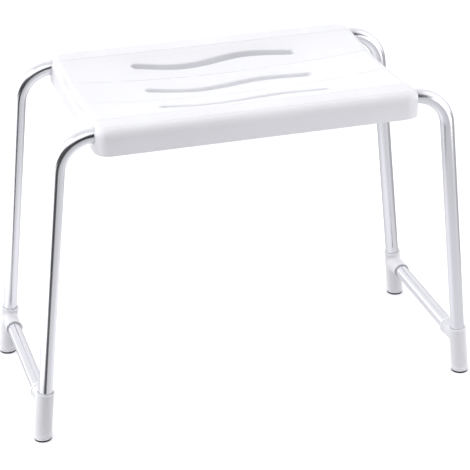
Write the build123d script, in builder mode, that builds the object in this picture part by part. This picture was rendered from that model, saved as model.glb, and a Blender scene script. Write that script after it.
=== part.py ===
"""Shower stool: a dished plastic seat on four bent tube legs, joined in pairs by cross tubes."""
import os
from math import cos, pi, radians, sin, sqrt, tan

from build123d import *

# ---- Driving dimensions, millimetres and degrees ----

# Seat: an upside-down tray, open below
seat_length = 464
seat_width = 316
seat_height = 471
skirt_depth = 38
seat_wall = 3.5
seat_corner_radius = 22
seat_edge_roll = 12.5
skirt_edge_radius = 1.2

# Dish pressed into the top between the two flat rims
rim_width = 40
dish_width = seat_width - 2 * rim_width
dish_depth = 18.5
dish_end_depth = 5
rim_break_radius = 12

# Three wavy drain slots, one in each plank of the dish, with a wall hanging below each
slot_edge_inset = 38
slot_pitch = dish_width / 2 - slot_edge_inset
slot_end_margin = 109
slot_length = seat_length - 2 * slot_end_margin
slot_width = 13.5
slot_wave = 7.4
slot_wavelength = 197
slot_wall = 2.5
slot_wall_lift = 3
slot_lip_radius = 2.4

# Fine grooves that draw the planks and the rims
groove_radius = 1.3
groove_depth = 0.9
rim_groove_inset = 11

# Ribs under the seat
rib_thickness = 2.5
rib_lift = 6
outer_rib_inset = 33
inner_rib_inset = 102
rib_positions = (seat_length / 2 - inner_rib_inset, seat_length / 2 - outer_rib_inset)

# Leg tubes: each is one bent tube, with its arm under a rim of the seat
tube_diameter = 20
tube_radius = tube_diameter / 2
tube_wall = 1.5
leg_inset = 25
leg_spacing = seat_width - 2 * leg_inset
leg_overhang = 44.5
leg_corner_span = seat_length + 2 * leg_overhang
leg_splay = 5.7
bend_radius = 52
arm_end_gap = 80
arm_drop = 1
arm_hole_clearance = 0.4

# Moulded sleeve on each foot, with a branch for the cross tube
sleeve_top = 76
sleeve_top_wall = 2.2
sleeve_bottom_wall = 2.8
collar_wall = 3.1
collar_height = 4
collar_rounding = 0.9
flange_wall = 3.4
flange_height = 2.4
bead_gap = 1.4
branch_drop = 18.5
branch_height = sleeve_top - branch_drop
branch_reach = 39
branch_wall = 1.9
branch_fillet = 5
cross_stop_wall = 2.5
cross_stop = tube_radius + cross_stop_wall
tube_fit_clearance = 0.1
mouth_gap = 0.6
mouth_depth = 3

# Rubber pad under each foot
pad_overhang = 2.6
pad_height = 3
pad_edge_radius = 0.8
pad_stem_inset = 2.5
pad_stem_radius = tube_radius - pad_stem_inset
pad_stem_height = 12
tube_stop_gap = 2
tube_stop_height = pad_stem_height + tube_stop_gap
pad_stem_clearance = 0.1

# Saddle clip that straps each arm to the seat, with two screws
clip_inset = 72
clip_position = seat_length / 2 - clip_inset
clip_width = 18
clip_thickness = 2.6
clip_ear_length = 10
clip_corner_radius = 3
screw_side_gap = 6.2
screw_offset = tube_radius + screw_side_gap
screw_shank_radius = 1.75
screw_hole_clearance = 0.15
screw_length = 10
screw_head_radius = 3.5
screw_head_height = 2.4
screw_slot_length = 4
screw_slot_width = 0.9
screw_slot_depth = 1.2

# ---- Places worked out from the driving dimensions ----

skirt_bottom = seat_height - skirt_depth
skin_underside = seat_height - seat_wall
arm_height = skin_underside - arm_drop - tube_radius
leg_y = leg_spacing / 2
splay = radians(leg_splay)
inner_length = seat_length - 2 * seat_wall
inner_width = seat_width - 2 * seat_wall
slot_rows = (-slot_pitch, 0, slot_pitch)
plank_edges = (-slot_pitch / 2, slot_pitch / 2)
screw_places = [
    (side_x * clip_position, side_y * leg_y + side * screw_offset)
    for side_x in (-1, 1)
    for side_y in (-1, 1)
    for side in (-1, 1)
]
saddle_inner = leg_y - screw_offset - clip_ear_length / 2
saddle_outer = inner_width / 2
corner_names = {(-1, -1): "front_left", (-1, 1): "rear_left", (1, -1): "front_right", (1, 1): "rear_right"}


def leg_x(height):
    """How far out from the middle the right legs' axis stands at a height."""
    return leg_corner_span / 2 + (arm_height - height) * tan(splay)


def dish_at(x):
    """Depth of the dish on its middle line, at a place along the seat."""
    share = (2 * x / seat_length) ** 2
    return dish_depth - (dish_depth - dish_end_depth) * share


def surface_height(x, y):
    """Height of the seat's top surface: flat rims, and a round dish between them."""
    depth = dish_at(x)
    half = dish_width / 2
    if abs(y) >= half:
        return seat_height
    arc_radius = (half * half + depth * depth) / (2 * depth)
    return seat_height + arc_radius - depth - sqrt(arc_radius * arc_radius - y * y)


def at_corner(piece, side_x, side_y):
    """The piece, mirrored from the right rear corner to another one."""
    with BuildPart() as placed:
        add(piece.part)
        if side_x < 0:
            mirror(about=Plane.YZ, mode=Mode.REPLACE)
        if side_y < 0:
            mirror(about=Plane.XZ, mode=Mode.REPLACE)
    return placed


def finish(piece, name):
    """Name the piece and write its file."""
    piece.part.label = name
    export_step(piece.part, f"parts/{name}.step")


# ---- Seat ----

def above_dish(drop):
    """The space above the dish surface, lowered by a skin thickness."""
    top = seat_height + 5
    rim = seat_height - drop
    half = dish_width / 2
    with BuildPart() as space:
        for station in (-1.04, -0.5, 0, 0.5, 1.04):
            x = station * seat_length / 2
            with BuildSketch(Plane.YZ.offset(x)):
                with BuildLine():
                    arc = ThreePointArc((-half, rim), (0, rim - dish_at(x)), (half, rim))
                    Polyline(arc @ 1, (half, top), (-half, top), arc @ 0)
                make_face()
        loft()
    return space.part


def slot_outline(width):
    """A wavy slot with round ends, centred on the origin."""
    steps = 12
    half = width / 2
    near = []
    far = []
    for step in range(steps + 1):
        x = (slot_length - slot_width) * (step / steps - 0.5)
        turn = 2 * pi * x / slot_wavelength
        across = Vector(-slot_wave * 2 * pi / slot_wavelength * cos(turn), 1).normalized() * half
        middle = Vector(x, slot_wave * sin(turn))
        near.append(middle - across)
        far.append(middle + across)
    with BuildSketch() as outline:
        with BuildLine():
            lower = Spline(near)
            upper = Spline(far)
            start_tip = (near[0] + far[0]) / 2 - (lower % 0) * half
            end_tip = (near[-1] + far[-1]) / 2 + (lower % 1) * half
            ThreePointArc(lower @ 0, start_tip, upper @ 0)
            ThreePointArc(lower @ 1, end_tip, upper @ 1)
        make_face()
    return outline.sketch


def groove(y):
    """The rod that presses one groove along the seat and over its rolled ends."""
    lift = groove_radius - groove_depth
    end_x = seat_length / 2 - seat_edge_roll
    end = surface_height(end_x, y) + lift
    middle = surface_height(0, y) + lift
    roll = seat_edge_roll + lift
    with BuildPart() as rod:
        with BuildLine(Plane.XZ.offset(-y)) as path:
            if end == middle:
                run = Line((-end_x, end), (end_x, end))
            else:
                run = ThreePointArc((-end_x, end), (0, middle), (end_x, end))
            JernArc(run @ 1, run % 1, roll, -75)
            JernArc(run @ 0, (run % 0) * -1, roll, 75)
        with BuildSketch(Plane(origin=path.wire() @ 0, z_dir=path.wire() % 0)):
            Circle(groove_radius)
        sweep()
    return rod.part


# Hollow under the skin: what is left of the tray's inside round its slot walls, ribs and saddles
with BuildPart() as hollow:
    with BuildSketch(Plane.XY.offset(skirt_bottom)):
        RectangleRounded(inner_length, inner_width, seat_corner_radius - seat_wall)
    extrude(amount=skirt_depth - seat_wall)
    fillet(hollow.faces().sort_by(Axis.Z)[-1].edges(), seat_edge_roll - seat_wall)
    add(above_dish(seat_wall), mode=Mode.SUBTRACT)
    with BuildSketch(Plane.XY.offset(skirt_bottom + slot_wall_lift)):
        with Locations(*[(0, row) for row in slot_rows]):
            add(slot_outline(slot_width + 2 * slot_wall))
    extrude(amount=skirt_depth, mode=Mode.SUBTRACT)
    with BuildSketch(Plane.XY.offset(skirt_bottom + rib_lift)):
        for rib_position in rib_positions:
            with GridLocations(2 * rib_position, 0, 2, 1):
                Rectangle(rib_thickness, seat_width)
        with GridLocations(0, 2 * saddle_inner - rib_thickness, 1, 2):
            Rectangle(seat_length, rib_thickness)
    extrude(amount=skirt_depth, mode=Mode.SUBTRACT)
    with BuildSketch(Plane.XY.offset(arm_height)):
        with GridLocations(2 * clip_position, saddle_inner + saddle_outer, 2, 2):
            Rectangle(clip_width, saddle_outer - saddle_inner + seat_wall)
    extrude(amount=skirt_depth, mode=Mode.SUBTRACT)

with BuildPart() as seat:
    with BuildSketch(Plane.XY.offset(skirt_bottom)):
        RectangleRounded(seat_length, seat_width, seat_corner_radius)
    extrude(amount=skirt_depth)
    add(above_dish(0), mode=Mode.SUBTRACT)
    # The break between rim and dish is softened first, so that the outline turns smoothly at its ends
    rim_breaks = seat.edges().filter_by(
        lambda edge: abs(abs(edge.center().Y) - dish_width / 2) < 1 and edge.center().Z > skin_underside
    )
    fillet(rim_breaks, rim_break_radius)
    upper_edges = seat.edges().filter_by(lambda edge: edge.bounding_box().min.Z > skin_underside - dish_depth)
    outline_edges = upper_edges.filter_by(
        lambda edge: edge.length < seat_width or abs(edge.center().Y) > dish_width / 2 + rim_break_radius
    )
    fillet(outline_edges, seat_edge_roll)
    fillet(seat.faces().sort_by(Axis.Z)[0].edges(), skirt_edge_radius)
    add(hollow.part, mode=Mode.SUBTRACT)
    with BuildSketch(Plane.XY.offset(skirt_bottom)):
        with Locations(*[(0, row) for row in slot_rows]):
            add(slot_outline(slot_width))
    extrude(amount=2 * skirt_depth, mode=Mode.SUBTRACT)
    dish_faces = seat.faces().filter_by(lambda face: face.normal_at().Z > 0.9)
    top_faces = dish_faces.filter_by(lambda face: face.center().Z > seat_height - dish_depth - 1)
    slot_lips = top_faces.edges().filter_by(
        lambda edge: abs(edge.center().X) < slot_length / 2 and abs(edge.center().Y) < dish_width / 2 - 5
    )
    fillet(slot_lips.filter_by(GeomType.BSPLINE), slot_lip_radius)
    for y in (*plank_edges, -dish_width / 2, dish_width / 2):
        add(groove(y), mode=Mode.SUBTRACT)
    rim_groove_y = seat_width / 2 - rim_groove_inset
    for y in (-rim_groove_y, rim_groove_y):
        add(groove(y), mode=Mode.SUBTRACT)
    # Holes for the arms: loose through the skirt and ribs, and snug in the saddles
    loose_radius = tube_radius + arm_hole_clearance
    arm_spans = (
        (arm_end_gap / 2, clip_position - clip_width / 2),
        (clip_position + clip_width / 2, seat_length / 2 + 1),
    )
    for start, end in arm_spans:
        for side in (-1, 1):
            with BuildSketch(Plane.YZ.offset(side * start)):
                with Locations((-leg_y, arm_height), (leg_y, arm_height)):
                    Circle(loose_radius)
            extrude(amount=side * (end - start), mode=Mode.SUBTRACT)
    for side in (-1, 1):
        with BuildSketch(Plane.YZ.offset(side * clip_position)):
            with Locations((-leg_y, arm_height), (leg_y, arm_height)):
                Circle(tube_radius)
        extrude(amount=clip_width / 2, both=True, mode=Mode.SUBTRACT)
    with BuildSketch(Plane.XY.offset(arm_height)):
        with Locations(*screw_places):
            Circle(screw_shank_radius)
    extrude(amount=screw_length - clip_thickness, mode=Mode.SUBTRACT)


# ---- Leg and cross tubes; the leg and what goes with it are drawn at the right rear corner ----

leg_foot_height = tube_stop_height * cos(splay)
with BuildPart() as leg:
    with BuildLine(Plane.XZ.offset(-leg_y)) as leg_path:
        FilletPolyline(
            (leg_x(leg_foot_height), leg_foot_height),
            (leg_x(arm_height), arm_height),
            (arm_end_gap / 2, arm_height),
            radius=bend_radius,
        )
    with BuildSketch(Plane(leg_path.wire() @ 0, z_dir=leg_path.wire() % 0)):
        Circle(tube_radius)
        Circle(tube_radius - tube_wall, mode=Mode.SUBTRACT)
    sweep()

with BuildPart() as cross_tube:
    with BuildSketch(Plane.XZ):
        with Locations((leg_x(branch_height), branch_height)):
            Circle(tube_radius)
            Circle(tube_radius - tube_wall, mode=Mode.SUBTRACT)
    extrude(amount=leg_y - cross_stop, both=True)


# ---- Foot: a sleeve up the leg, with a branch for the cross tube and a rubber pad below ----

# Across the leg's axis where it meets the floor, with Z up the leg
leg_plane = Plane((leg_x(0), leg_y, 0), x_dir=(0, 1, 0), z_dir=(-sin(splay), 0, cos(splay)))
mouth_plane = Plane((leg_x(branch_height), leg_y - branch_reach, branch_height), z_dir=(0, 1, 0))
flange_plane = Plane((leg_x(pad_height), leg_y, pad_height))
bead_height = pad_height + flange_height + bead_gap
bead_plane = Plane((leg_x(bead_height), leg_y, bead_height))
collar_plane = leg_plane.offset(sleeve_top - collar_height)


def rounded_disc(plane, wall, height):
    """A disc standing on a plane, a wall wider than the tube all round, with both edges rounded."""
    with BuildPart() as disc:
        with BuildSketch(plane):
            Circle(tube_radius + wall)
        extrude(amount=height)
        fillet(disc.edges().filter_by(GeomType.CIRCLE), collar_rounding)
    return disc.part


with BuildPart() as sleeve:
    with BuildSketch(leg_plane):
        Circle(tube_radius + sleeve_bottom_wall)
    with BuildSketch(collar_plane):
        Circle(tube_radius + sleeve_top_wall)
    loft()
    # The branch runs from the leg's axis to its mouth, with a soft corner round its root
    with BuildSketch(mouth_plane):
        Circle(tube_radius + branch_wall)
    extrude(amount=branch_reach)
    fillet(sleeve.edges().filter_by(GeomType.BSPLINE), branch_fillet)
    split(bisect_by=Plane.XY.offset(pad_height), keep=Keep.TOP)
    # A lip round each mouth, and a flange and a bead level with the floor
    add(rounded_disc(collar_plane, collar_wall, collar_height))
    add(rounded_disc(mouth_plane, collar_wall, collar_height))
    add(rounded_disc(flange_plane, flange_wall, flange_height))
    add(rounded_disc(bead_plane, flange_wall, flange_height))
    # The pad's small hole, and above it the bore with the ledge that the leg stands on
    with BuildSketch(leg_plane.offset(-pad_height)):
        Circle(pad_stem_radius)
    extrude(amount=sleeve_top, mode=Mode.SUBTRACT)
    with BuildSketch(leg_plane.offset(tube_stop_height)):
        Circle(tube_radius + tube_fit_clearance)
    extrude(amount=sleeve_top, mode=Mode.SUBTRACT)
    with BuildSketch(leg_plane.offset(sleeve_top - mouth_depth)):
        Circle(tube_radius + mouth_gap)
    extrude(amount=sleeve_top, mode=Mode.SUBTRACT)
    # The branch's bore, with the wall that the cross tube stops against
    with BuildSketch(mouth_plane):
        Circle(tube_radius + tube_fit_clearance)
    extrude(amount=branch_reach - cross_stop, mode=Mode.SUBTRACT)
    with BuildSketch(mouth_plane):
        Circle(tube_radius + mouth_gap)
    extrude(amount=mouth_depth, mode=Mode.SUBTRACT)

with BuildPart() as pad:
    with BuildSketch(flange_plane):
        Circle(tube_radius + pad_overhang)
    extrude(amount=-pad_height)
    fillet(pad.faces().sort_by(Axis.Z)[0].edges(), pad_edge_radius)
    with BuildSketch(leg_plane.offset(pad_height / 2)):
        Circle(pad_stem_radius - pad_stem_clearance)
    extrude(amount=pad_stem_height - pad_height / 2)


# ---- Saddle clip, a strap under the arm with a flat ear on each side, and the screws ----

ear_span = 2 * screw_offset + clip_ear_length
with BuildPart() as clip:
    with BuildSketch(Plane.YZ.offset(clip_position)):
        with Locations((leg_y, arm_height)):
            Circle(tube_radius + clip_thickness)
        with Locations((leg_y, arm_height - clip_thickness / 2)):
            Rectangle(ear_span, clip_thickness)
        with Locations((leg_y, arm_height)):
            Circle(tube_radius, mode=Mode.SUBTRACT)
        with Locations((leg_y, arm_height + tube_diameter / 2)):
            Rectangle(ear_span, tube_diameter, mode=Mode.SUBTRACT)
    extrude(amount=clip_width / 2, both=True)
    upright_edges = clip.edges().filter_by(Axis.Z)
    fillet(upright_edges.filter_by(lambda edge: abs(edge.center().Y - leg_y) > screw_offset), clip_corner_radius)
    with BuildSketch(Plane.XY.offset(arm_height)):
        with Locations((clip_position, leg_y - screw_offset), (clip_position, leg_y + screw_offset)):
            Circle(screw_shank_radius + screw_hole_clearance)
    extrude(amount=-2 * clip_thickness, mode=Mode.SUBTRACT)

head_plane = Plane.XY.offset(arm_height - clip_thickness)
with BuildPart() as screws:
    with BuildSketch(head_plane):
        with Locations(*screw_places):
            Circle(screw_shank_radius)
    extrude(amount=screw_length)
    with BuildSketch(head_plane):
        with Locations(*screw_places):
            Circle(screw_head_radius)
    extrude(amount=-screw_head_height)
    fillet(screws.faces().group_by(Axis.Z)[0].edges(), screw_head_height / 2)
    with BuildSketch(head_plane.offset(-screw_head_height)):
        with Locations(*screw_places):
            Rectangle(screw_slot_length, screw_slot_width)
            Rectangle(screw_slot_width, screw_slot_length)
    extrude(amount=screw_slot_depth, mode=Mode.SUBTRACT)


# ---- The pieces, one file each ----

os.makedirs("parts", exist_ok=True)
finish(seat, "seat_shell")
finish(screws, "clip_screws")
finish(at_corner(cross_tube, -1, 1), "left_cross_tube")
finish(cross_tube, "right_cross_tube")
for side_x, side_y in corner_names:
    corner_name = corner_names[side_x, side_y]
    finish(at_corner(leg, side_x, side_y), f"{corner_name}_leg")
    finish(at_corner(sleeve, side_x, side_y), f"{corner_name}_sleeve")
    finish(at_corner(pad, side_x, side_y), f"{corner_name}_pad")
    finish(at_corner(clip, side_x, side_y), f"{corner_name}_clip")
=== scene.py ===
import math

import bpy
from mathutils import Matrix, Vector


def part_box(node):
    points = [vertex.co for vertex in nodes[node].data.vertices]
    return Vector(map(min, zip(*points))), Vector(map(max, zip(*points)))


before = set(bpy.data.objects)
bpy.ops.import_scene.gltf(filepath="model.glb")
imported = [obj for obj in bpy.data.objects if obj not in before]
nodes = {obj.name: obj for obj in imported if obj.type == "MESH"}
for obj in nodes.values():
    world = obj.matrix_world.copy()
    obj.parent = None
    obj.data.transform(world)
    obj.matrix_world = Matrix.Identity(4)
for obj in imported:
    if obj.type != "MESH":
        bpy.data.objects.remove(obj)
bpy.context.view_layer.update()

corners = ("front_left", "rear_left", "front_right", "rear_right")
bpy.ops.object.select_all(action="DESELECT")
print("frame loaded:", len(nodes), "nodes")


def linear(hexColour):
    # sRGB hex to the linear colour that the shader wants
    channels = [int(hexColour[i:i + 2], 16) / 255 for i in (0, 2, 4)]
    return [c / 12.92 if c <= 0.04045 else ((c + 0.055) / 1.055) ** 2.4 for c in channels] + [1.0]


def newMaterial(name):
    material = bpy.data.materials.new(name)
    material.use_nodes = True
    material.node_tree.nodes.clear()
    output = material.node_tree.nodes.new("ShaderNodeOutputMaterial")
    shader = material.node_tree.nodes.new("ShaderNodeBsdfPrincipled")
    material.node_tree.links.new(shader.outputs["BSDF"], output.inputs["Surface"])
    return material, shader


def addNode(tree, kind, settings=None, links=None):
    # one node, with its settings and input values, and what feeds each input
    node = tree.nodes.new(kind)
    for key, value in (settings or {}).items():
        if isinstance(key, str) and hasattr(node, key):
            setattr(node, key, value)
        else:
            node.inputs[key].default_value = value
    for key, source in (links or {}).items():
        tree.links.new(source, node.inputs[key])
    return node


mouldedWhite = {
    "pale": "F4F4F7",
    "shade": "F1F1F5",
    "roughness": 0.32,
    "grainMm": 0.7,
    "flowMm": 90,
    "streakMm": 7,
    "streakLengthMm": 700,
    "streakDepthMm": 0.0,
    "glowDepthMm": 6,
}


def mouldedPolypropylene(name, look):
    # Injection moulded polypropylene: soft sheen from a finely sparked mould, a little light inside it
    material, shader = newMaterial(name)
    tree = material.node_tree
    place = addNode(tree, "ShaderNodeTexCoord").outputs["Object"]
    fromPlace = {"Vector": place}
    flow = addNode(tree, "ShaderNodeTexNoise", {"Scale": 1000 / look["flowMm"], "Detail": 3.0}, fromPlace)
    tint = addNode(tree, "ShaderNodeMix", {"data_type": "RGBA"}, {"Factor": flow.outputs["Fac"]})
    tint.inputs["A"].default_value = linear(look["pale"])
    tint.inputs["B"].default_value = linear(look["shade"])
    tree.links.new(tint.outputs["Result"], shader.inputs["Base Color"])
    grain = addNode(tree, "ShaderNodeTexNoise", {"Scale": 1000 / look["grainMm"], "Detail": 2.0}, fromPlace)
    sheen = {"To Min": look["roughness"] - 0.05, "To Max": look["roughness"] + 0.06}
    gloss = addNode(tree, "ShaderNodeMapRange", sheen, {"Value": flow.outputs["Fac"]})
    tree.links.new(gloss.outputs["Result"], shader.inputs["Roughness"])
    fineGrain = {"Strength": 0.05, "Distance": 0.0002}
    bump = addNode(tree, "ShaderNodeBump", fineGrain, {"Height": grain.outputs["Fac"]})
    if look["streakDepthMm"] > 0:
        # the mould's plank streaks, long and shallow, run along the seat
        scale = (1000 / look["streakLengthMm"], 1000 / look["streakMm"], 1.0)
        drawn = addNode(tree, "ShaderNodeMapping", {"Scale": scale}, {"Vector": place})
        drawnPlace = {"Vector": drawn.outputs["Vector"]}
        streaks = addNode(tree, "ShaderNodeTexNoise", {"Scale": 1.0, "Detail": 2.0}, drawnPlace)
        streakSettings = {"Strength": 1.0, "Distance": look["streakDepthMm"] / 1000}
        streakBump = addNode(tree, "ShaderNodeBump", streakSettings, {"Height": streaks.outputs["Fac"]})
        tree.links.new(streakBump.outputs["Normal"], bump.inputs["Normal"])
    tree.links.new(bump.outputs["Normal"], shader.inputs["Normal"])
    shader.inputs["IOR"].default_value = 1.49
    shader.inputs["Subsurface Weight"].default_value = 0.6
    shader.inputs["Subsurface Radius"].default_value = (1.0, 1.0, 1.0)
    shader.inputs["Subsurface Scale"].default_value = look["glowDepthMm"] / 1000
    return material


anodisedTube = {"colour": "EAEAEF", "roughness": 0.2, "lineMm": 0.5, "lineLengthMm": 60}


def anodisedAluminium(name, look, alongAxis):
    # Drawn aluminium tube, satin anodised: bright metal with faint lines along the draw
    material, shader = newMaterial(name)
    tree = material.node_tree
    place = addNode(tree, "ShaderNodeTexCoord").outputs["Object"]
    fine = 1000 / look["lineMm"]
    coarse = 1000 / look["lineLengthMm"]
    scale = [fine, fine, fine]
    scale[alongAxis] = coarse
    stretched = addNode(tree, "ShaderNodeMapping", {"Scale": scale}, {"Vector": place})
    drawnPlace = {"Vector": stretched.outputs["Vector"]}
    lines = addNode(tree, "ShaderNodeTexNoise", {"Scale": 1.0, "Detail": 2.0}, drawnPlace)
    sheen = {"To Min": look["roughness"] - 0.04, "To Max": look["roughness"] + 0.06}
    gloss = addNode(tree, "ShaderNodeMapRange", sheen, {"Value": lines.outputs["Fac"]})
    tree.links.new(gloss.outputs["Result"], shader.inputs["Roughness"])
    fineLines = {"Strength": 0.04, "Distance": 0.0001}
    bump = addNode(tree, "ShaderNodeBump", fineLines, {"Height": lines.outputs["Fac"]})
    tree.links.new(bump.outputs["Normal"], shader.inputs["Normal"])
    shader.inputs["Base Color"].default_value = linear(look["colour"])
    shader.inputs["Metallic"].default_value = 1.0
    return material


def blackRubber(name):
    # Moulded black rubber: matte, with a fine dusty bloom
    material, shader = newMaterial(name)
    tree = material.node_tree
    place = addNode(tree, "ShaderNodeTexCoord").outputs["Object"]
    bloom = addNode(tree, "ShaderNodeTexNoise", {"Scale": 1000 / 3, "Detail": 4.0}, {"Vector": place})
    tint = addNode(tree, "ShaderNodeMix", {"data_type": "RGBA"}, {"Factor": bloom.outputs["Fac"]})
    tint.inputs["A"].default_value = linear("101012")
    tint.inputs["B"].default_value = linear("1D1D20")
    tree.links.new(tint.outputs["Result"], shader.inputs["Base Color"])
    dusty = {"Strength": 0.2, "Distance": 0.0002}
    bump = addNode(tree, "ShaderNodeBump", dusty, {"Height": bloom.outputs["Fac"]})
    tree.links.new(bump.outputs["Normal"], shader.inputs["Normal"])
    shader.inputs["Roughness"].default_value = 0.62
    return material


seatLook = dict(mouldedWhite, streakDepthMm=0.45)
seatPlastic = mouldedPolypropylene("whiteMouldedPolypropylene", seatLook)
legMetal = anodisedAluminium("satinAnodisedAluminiumLeg", anodisedTube, 2)
crossMetal = anodisedAluminium("satinAnodisedAluminiumCross", anodisedTube, 1)
sleeveLook = dict(mouldedWhite, pale="F7F7FB", shade="F2F2F7")
sleevePlastic = mouldedPolypropylene("whiteMouldedSleeve", sleeveLook)
padRubber = blackRubber("blackMouldedRubber")
clipPlastic = mouldedPolypropylene("whiteAcetalClip", dict(mouldedWhite, pale="F0F0F4", shade="EBEBF0"))
screwSteel = anodisedAluminium("zincPlatedScrew", dict(anodisedTube, colour="B9BBC0"), 2)


def paint(node, material):
    mesh = nodes[node].data
    mesh.materials.clear()
    mesh.materials.append(material)


paint("seat_shell", seatPlastic)
paint("left_cross_tube", crossMetal)
paint("right_cross_tube", crossMetal)
paint("clip_screws", screwSteel)
for corner in corners:
    paint(corner + "_leg", legMetal)
    paint(corner + "_sleeve", sleevePlastic)
    paint(corner + "_pad", padRubber)
    paint(corner + "_clip", clipPlastic)
print("materials done")


floorPlan = {"size": 14.0, "colour": "CFCFD2", "glow": 0.5}
bpy.ops.mesh.primitive_plane_add(size=floorPlan["size"], location=(0, 0, 0))
floor = bpy.context.object
floor.name = "floor"
floorPaint, floorShader = newMaterial("palePaper")
floorShader.inputs["Base Color"].default_value = linear(floorPlan["colour"])
floorShader.inputs["Roughness"].default_value = 0.9
floorShader.inputs["Specular IOR Level"].default_value = 0.0
floorShader.inputs["Emission Color"].default_value = linear("FFFFFF")
floorTree = floorPaint.node_tree
seenDirectly = addNode(floorTree, "ShaderNodeLightPath").outputs["Is Camera Ray"]
lift = addNode(floorTree, "ShaderNodeMath", {"operation": "MULTIPLY"}, {0: seenDirectly})
lift.inputs[1].default_value = floorPlan["glow"]
floorTree.links.new(lift.outputs["Value"], floorShader.inputs["Emission Strength"])
floor.data.materials.append(floorPaint)
# bare metal sees the painted reflections of the lit table top and the flag below instead
floor.visible_glossy = False


def onlyInReflections(card):
    card.visible_camera = False
    card.visible_diffuse = False
    card.visible_shadow = False
    card.visible_transmission = False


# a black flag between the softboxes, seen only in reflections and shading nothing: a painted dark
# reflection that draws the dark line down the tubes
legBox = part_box("front_left_leg")
flagPlan = {
    "foot": (legBox[0].x + 0.025, (legBox[0].y + legBox[1].y) / 2, 0),
    "azimuth": -22, "away": 0.5, "half": 0.12, "edge": 0.12, "low": 0.0, "high": 0.8, "bright": 0.07,
}
aim = math.radians(flagPlan["azimuth"])
wide = flagPlan["half"] + flagPlan["edge"]

# painted reflection of the lit table top, a glowing plane that only bright metal sees: plain in the middle,
# a painted glare towards the left softbox, painted shade towards the front and the far right, and brighter
# under the stool
paintedTableReflection = {
    "size": 9.0, "plain": 0.8, "glare": 1.7, "glareFrom": -0.42, "glareTo": -0.62,
    "frontDim": 0.82, "frontFrom": -0.35, "frontTo": -1.0,
    "underStool": 1.3, "underFrom": 0.14, "underTo": 0.36,
    "farRight": 0.6, "rightFrom": 0.5, "rightTo": 0.85,
    "wedge": 0.14, "below": 0.003,
}


def softRange(tree, value, start, end, low, high):
    # a value that goes softly from low to high between start and end
    settings = {
        "interpolation_type": "SMOOTHSTEP",
        "From Min": start, "From Max": end, "To Min": low, "To Max": high,
    }
    return addNode(tree, "ShaderNodeMapRange", settings, {"Value": value})



bpy.ops.mesh.primitive_plane_add(size=paintedTableReflection["size"], location=(0, 0, -paintedTableReflection["below"]))
paintedReflectionPlane = bpy.context.object
paintedReflectionPlane.name = "paintedTableReflection"
tablePaint = bpy.data.materials.new("paintedTableReflection")
tablePaint.use_nodes = True
tree = tablePaint.node_tree
tree.nodes.clear()
place = addNode(tree, "ShaderNodeTexCoord").outputs["Object"]
where = addNode(tree, "ShaderNodeSeparateXYZ", {}, {"Vector": place})
along, deep = where.outputs["X"], where.outputs["Y"]
plan = paintedTableReflection
glare = softRange(tree, along, plan["glareFrom"], plan["glareTo"], plan["plain"], plan["glare"])
dim = softRange(tree, deep, plan["frontFrom"], plan["frontTo"], 1.0, plan["frontDim"])
# a painted dark wedge for the flag's own reflection in the table top, which widens from the left front foot
fromFoot = addNode(tree, "ShaderNodeMapping", {"vector_type": "TEXTURE"}, {"Vector": place})
fromFoot.inputs["Location"].default_value = flagPlan["foot"]
fromFoot.inputs["Rotation"].default_value = (0, 0, aim)
ahead = addNode(tree, "ShaderNodeSeparateXYZ", {}, {"Vector": fromFoot.outputs["Vector"]})
slantLinks = {0: ahead.outputs["X"], 1: ahead.outputs["Y"]}
slant = addNode(tree, "ShaderNodeMath", {"operation": "DIVIDE"}, slantLinks)
spread = addNode(tree, "ShaderNodeMath", {"operation": "ABSOLUTE"}, {0: slant.outputs["Value"]})
dark, clearOfIt = flagPlan["half"] / flagPlan["away"], wide / flagPlan["away"]
beside = softRange(tree, spread.outputs["Value"], dark, clearOfIt, plan["wedge"], 1.0)
inFront = addNode(tree, "ShaderNodeMath", {"operation": "LESS_THAN", 1: 0.0}, {0: ahead.outputs["Y"]})
wedgeLinks = {"Factor": inFront.outputs["Value"], "B": beside.outputs["Result"]}
wedge = addNode(tree, "ShaderNodeMix", {"data_type": "FLOAT"}, wedgeLinks)
wedge.inputs["A"].default_value = 1.0
outward = addNode(tree, "ShaderNodeVectorMath", {"operation": "LENGTH"}, {0: place})
away = outward.outputs["Value"]
under = softRange(tree, away, plan["underFrom"], plan["underTo"], plan["underStool"], 1.0)
rightBack = addNode(tree, "ShaderNodeMath", {"operation": "ADD"}, {0: along, 1: deep})
diagonal = rightBack.outputs["Value"]
faded = softRange(tree, diagonal, plan["rightFrom"], plan["rightTo"], 1.0, plan["farRight"])
level = glare.outputs["Result"]
for share in (dim, wedge, under, faded):
    productLinks = {0: level, 1: share.outputs["Result"]}
    product = addNode(tree, "ShaderNodeMath", {"operation": "MULTIPLY"}, productLinks)
    level = product.outputs["Value"]
# painted reflection: this glow lights nothing and shows only in bright metal
shine = addNode(tree, "ShaderNodeEmission", {}, {"Strength": level})
shine.inputs["Color"].default_value = linear("FCFCFF")
addNode(tree, "ShaderNodeOutputMaterial", {}, {"Surface": shine.outputs["Emission"]})
paintedReflectionPlane.data.materials.append(tablePaint)
onlyInReflections(paintedReflectionPlane)

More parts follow.
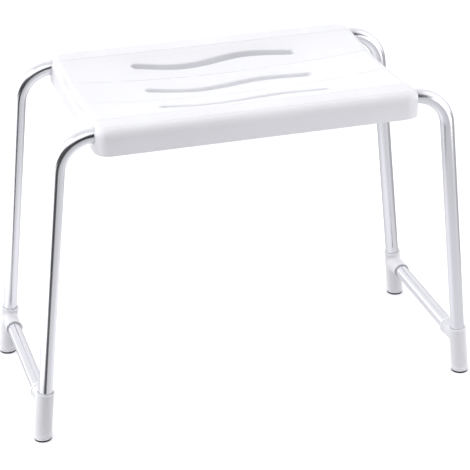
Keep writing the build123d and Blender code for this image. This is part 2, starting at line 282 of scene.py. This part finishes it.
spot = Vector(flagPlan["foot"]) + Vector((math.sin(aim), -math.cos(aim), 0)) * flagPlan["away"]
tall = (flagPlan["high"] - flagPlan["low"]) / 2
bpy.ops.mesh.primitive_plane_add(size=2)
flag = bpy.context.object
flag.name = "flag"
flag.scale = (wide, tall, 1)
flag.rotation_euler = (math.pi / 2, 0, aim)
flag.location = spot + Vector((0, 0, (flagPlan["high"] + flagPlan["low"]) / 2))
flagPaint = bpy.data.materials.new("paintedDarkReflectionFlag")
flagPaint.use_nodes = True
tree = flagPaint.node_tree
tree.nodes.clear()
place = addNode(tree, "ShaderNodeTexCoord").outputs["Object"]
where = addNode(tree, "ShaderNodeSeparateXYZ", {}, {"Vector": place})
across = addNode(tree, "ShaderNodeMath", {"operation": "ABSOLUTE"}, {0: where.outputs["X"]})
soft = softRange(tree, across.outputs["Value"], flagPlan["half"] / wide, 1.0, 0.0, 1.0)
# painted dark reflection: a faint glow that fades to clear at the flag's sides
black = addNode(tree, "ShaderNodeEmission", {"Strength": flagPlan["bright"]})
clear = addNode(tree, "ShaderNodeBsdfTransparent")
bothLinks = {0: soft.outputs["Result"], 1: black.outputs["Emission"], 2: clear.outputs["BSDF"]}
both = addNode(tree, "ShaderNodeMixShader", {}, bothLinks)
addNode(tree, "ShaderNodeOutputMaterial", {}, {"Surface": both.outputs["Shader"]})
flag.data.materials.append(flagPaint)
onlyInReflections(flag)

# the studio as soft patches of brightness around the stool: direction, where the patch is full and
# where it has faded out, in degrees from its middle, how bright it is, and how far it is squashed upright
studio = {
    "walls": 0.48,
    "patches": {
        "overheadSilk": {"azimuth": 0, "rise": 90, "full": 28, "gone": 60, "bright": 0.62},
        "backWall": {"azimuth": 163, "rise": 30, "full": 35, "gone": 65, "bright": 1.0},
        "leftSoftbox": {"azimuth": -100, "rise": 8, "full": 32, "gone": 52, "upright": 0.8, "bright": 2.4},
        "rightSoftbox": {"azimuth": 80, "rise": 20, "full": 22, "gone": 44, "upright": 0.8, "bright": 1.3},
        "darkFront": {"azimuth": -15, "rise": 12, "full": 36, "gone": 64, "bright": 0.03},
        "frontSilk": {"azimuth": -35, "rise": 58, "full": 16, "gone": 36, "bright": 1.55},
    },
}
world = bpy.data.worlds.new("studio")
bpy.context.scene.world = world
world.use_nodes = True
sky = world.node_tree
sky.nodes.clear()
heading = addNode(sky, "ShaderNodeTexCoord").outputs["Generated"]
brightness = addNode(sky, "ShaderNodeValue")
brightness.outputs[0].default_value = studio["walls"]
brightness = brightness.outputs[0]
for patch in studio["patches"].values():
    upright = patch.get("upright", 1.0)
    flat = addNode(sky, "ShaderNodeVectorMath", {"operation": "MULTIPLY"}, {0: heading})
    flat.inputs[1].default_value = (1.0, 1.0, upright)
    unit = addNode(sky, "ShaderNodeVectorMath", {"operation": "NORMALIZE"}, {0: flat.outputs["Vector"]})
    around = math.radians(patch["azimuth"])
    up = math.radians(patch["rise"])
    middle = Vector((math.sin(around) * math.cos(up), -math.cos(around) * math.cos(up), math.sin(up)))
    middle = Vector((middle.x, middle.y, middle.z * upright)).normalized()
    facing = addNode(sky, "ShaderNodeVectorMath", {"operation": "DOT_PRODUCT"}, {0: unit.outputs["Vector"]})
    facing.inputs[1].default_value = middle
    gone, full = math.cos(math.radians(patch["gone"])), math.cos(math.radians(patch["full"]))
    mask = softRange(sky, facing.outputs["Value"], gone, full, 0.0, 1.0)
    blendLinks = {"Factor": mask.outputs["Result"], "A": brightness}
    blend = addNode(sky, "ShaderNodeMix", {"data_type": "FLOAT"}, blendLinks)
    blend.inputs["B"].default_value = patch["bright"]
    brightness = blend.outputs["Result"]
seen = addNode(sky, "ShaderNodeLightPath").outputs["Is Camera Ray"]
shown = addNode(sky, "ShaderNodeMix", {"data_type": "FLOAT"}, {"Factor": seen, "A": brightness})
shown.inputs["B"].default_value = 1.0
glow = addNode(sky, "ShaderNodeBackground", {}, {"Strength": shown.outputs["Result"]})
glow.inputs["Color"].default_value = linear("FDFDFF")
addNode(sky, "ShaderNodeOutputWorld", {}, {"Surface": glow.outputs["Background"]})


def softbox(name, place, aim, size, radiance):
    light = bpy.data.lights.new(name, "AREA")
    light.shape = "RECTANGLE"
    light.size, light.size_y = size
    light.energy = radiance * math.pi * size[0] * size[1]
    lamp = bpy.data.objects.new(name, light)
    lamp.location = place
    lamp.rotation_euler = (Vector(aim) - Vector(place)).to_track_quat("-Z", "Y").to_euler()
    bpy.context.collection.objects.link(lamp)
    return lamp


softbox("frontRightBox", (0.85, -0.65, 0.36), (0.25, 0, 0.44), (0.4, 0.4), 3.0)

shot = {
    "azimuth": -17.007,
    "elevation": 26.064,
    "roll": -0.295,
    "distance": 2.6974,
    "target": (0.0069, 0, 0.2119),
    "lensMm": 138.95,
}
turn = math.radians(shot["azimuth"])
rise = math.radians(shot["elevation"])
toCamera = Vector((math.sin(turn) * math.cos(rise), -math.cos(turn) * math.cos(rise), math.sin(rise)))
cameraData = bpy.data.cameras.new("camera")
cameraData.sensor_width = 36
cameraData.lens = shot["lensMm"]
camera = bpy.data.objects.new("camera", cameraData)
bpy.context.collection.objects.link(camera)
camera.matrix_world = (
    Matrix.Translation(Vector(shot["target"]) + toCamera * shot["distance"])
    @ Matrix.Rotation(turn, 4, "Z")
    @ Matrix.Rotation(math.pi / 2 - rise, 4, "X")
    @ Matrix.Rotation(math.radians(shot["roll"]), 4, "Z")
)
bpy.context.scene.camera = camera
bpy.context.scene.view_settings.view_transform = "Standard"
print("camera and light done")
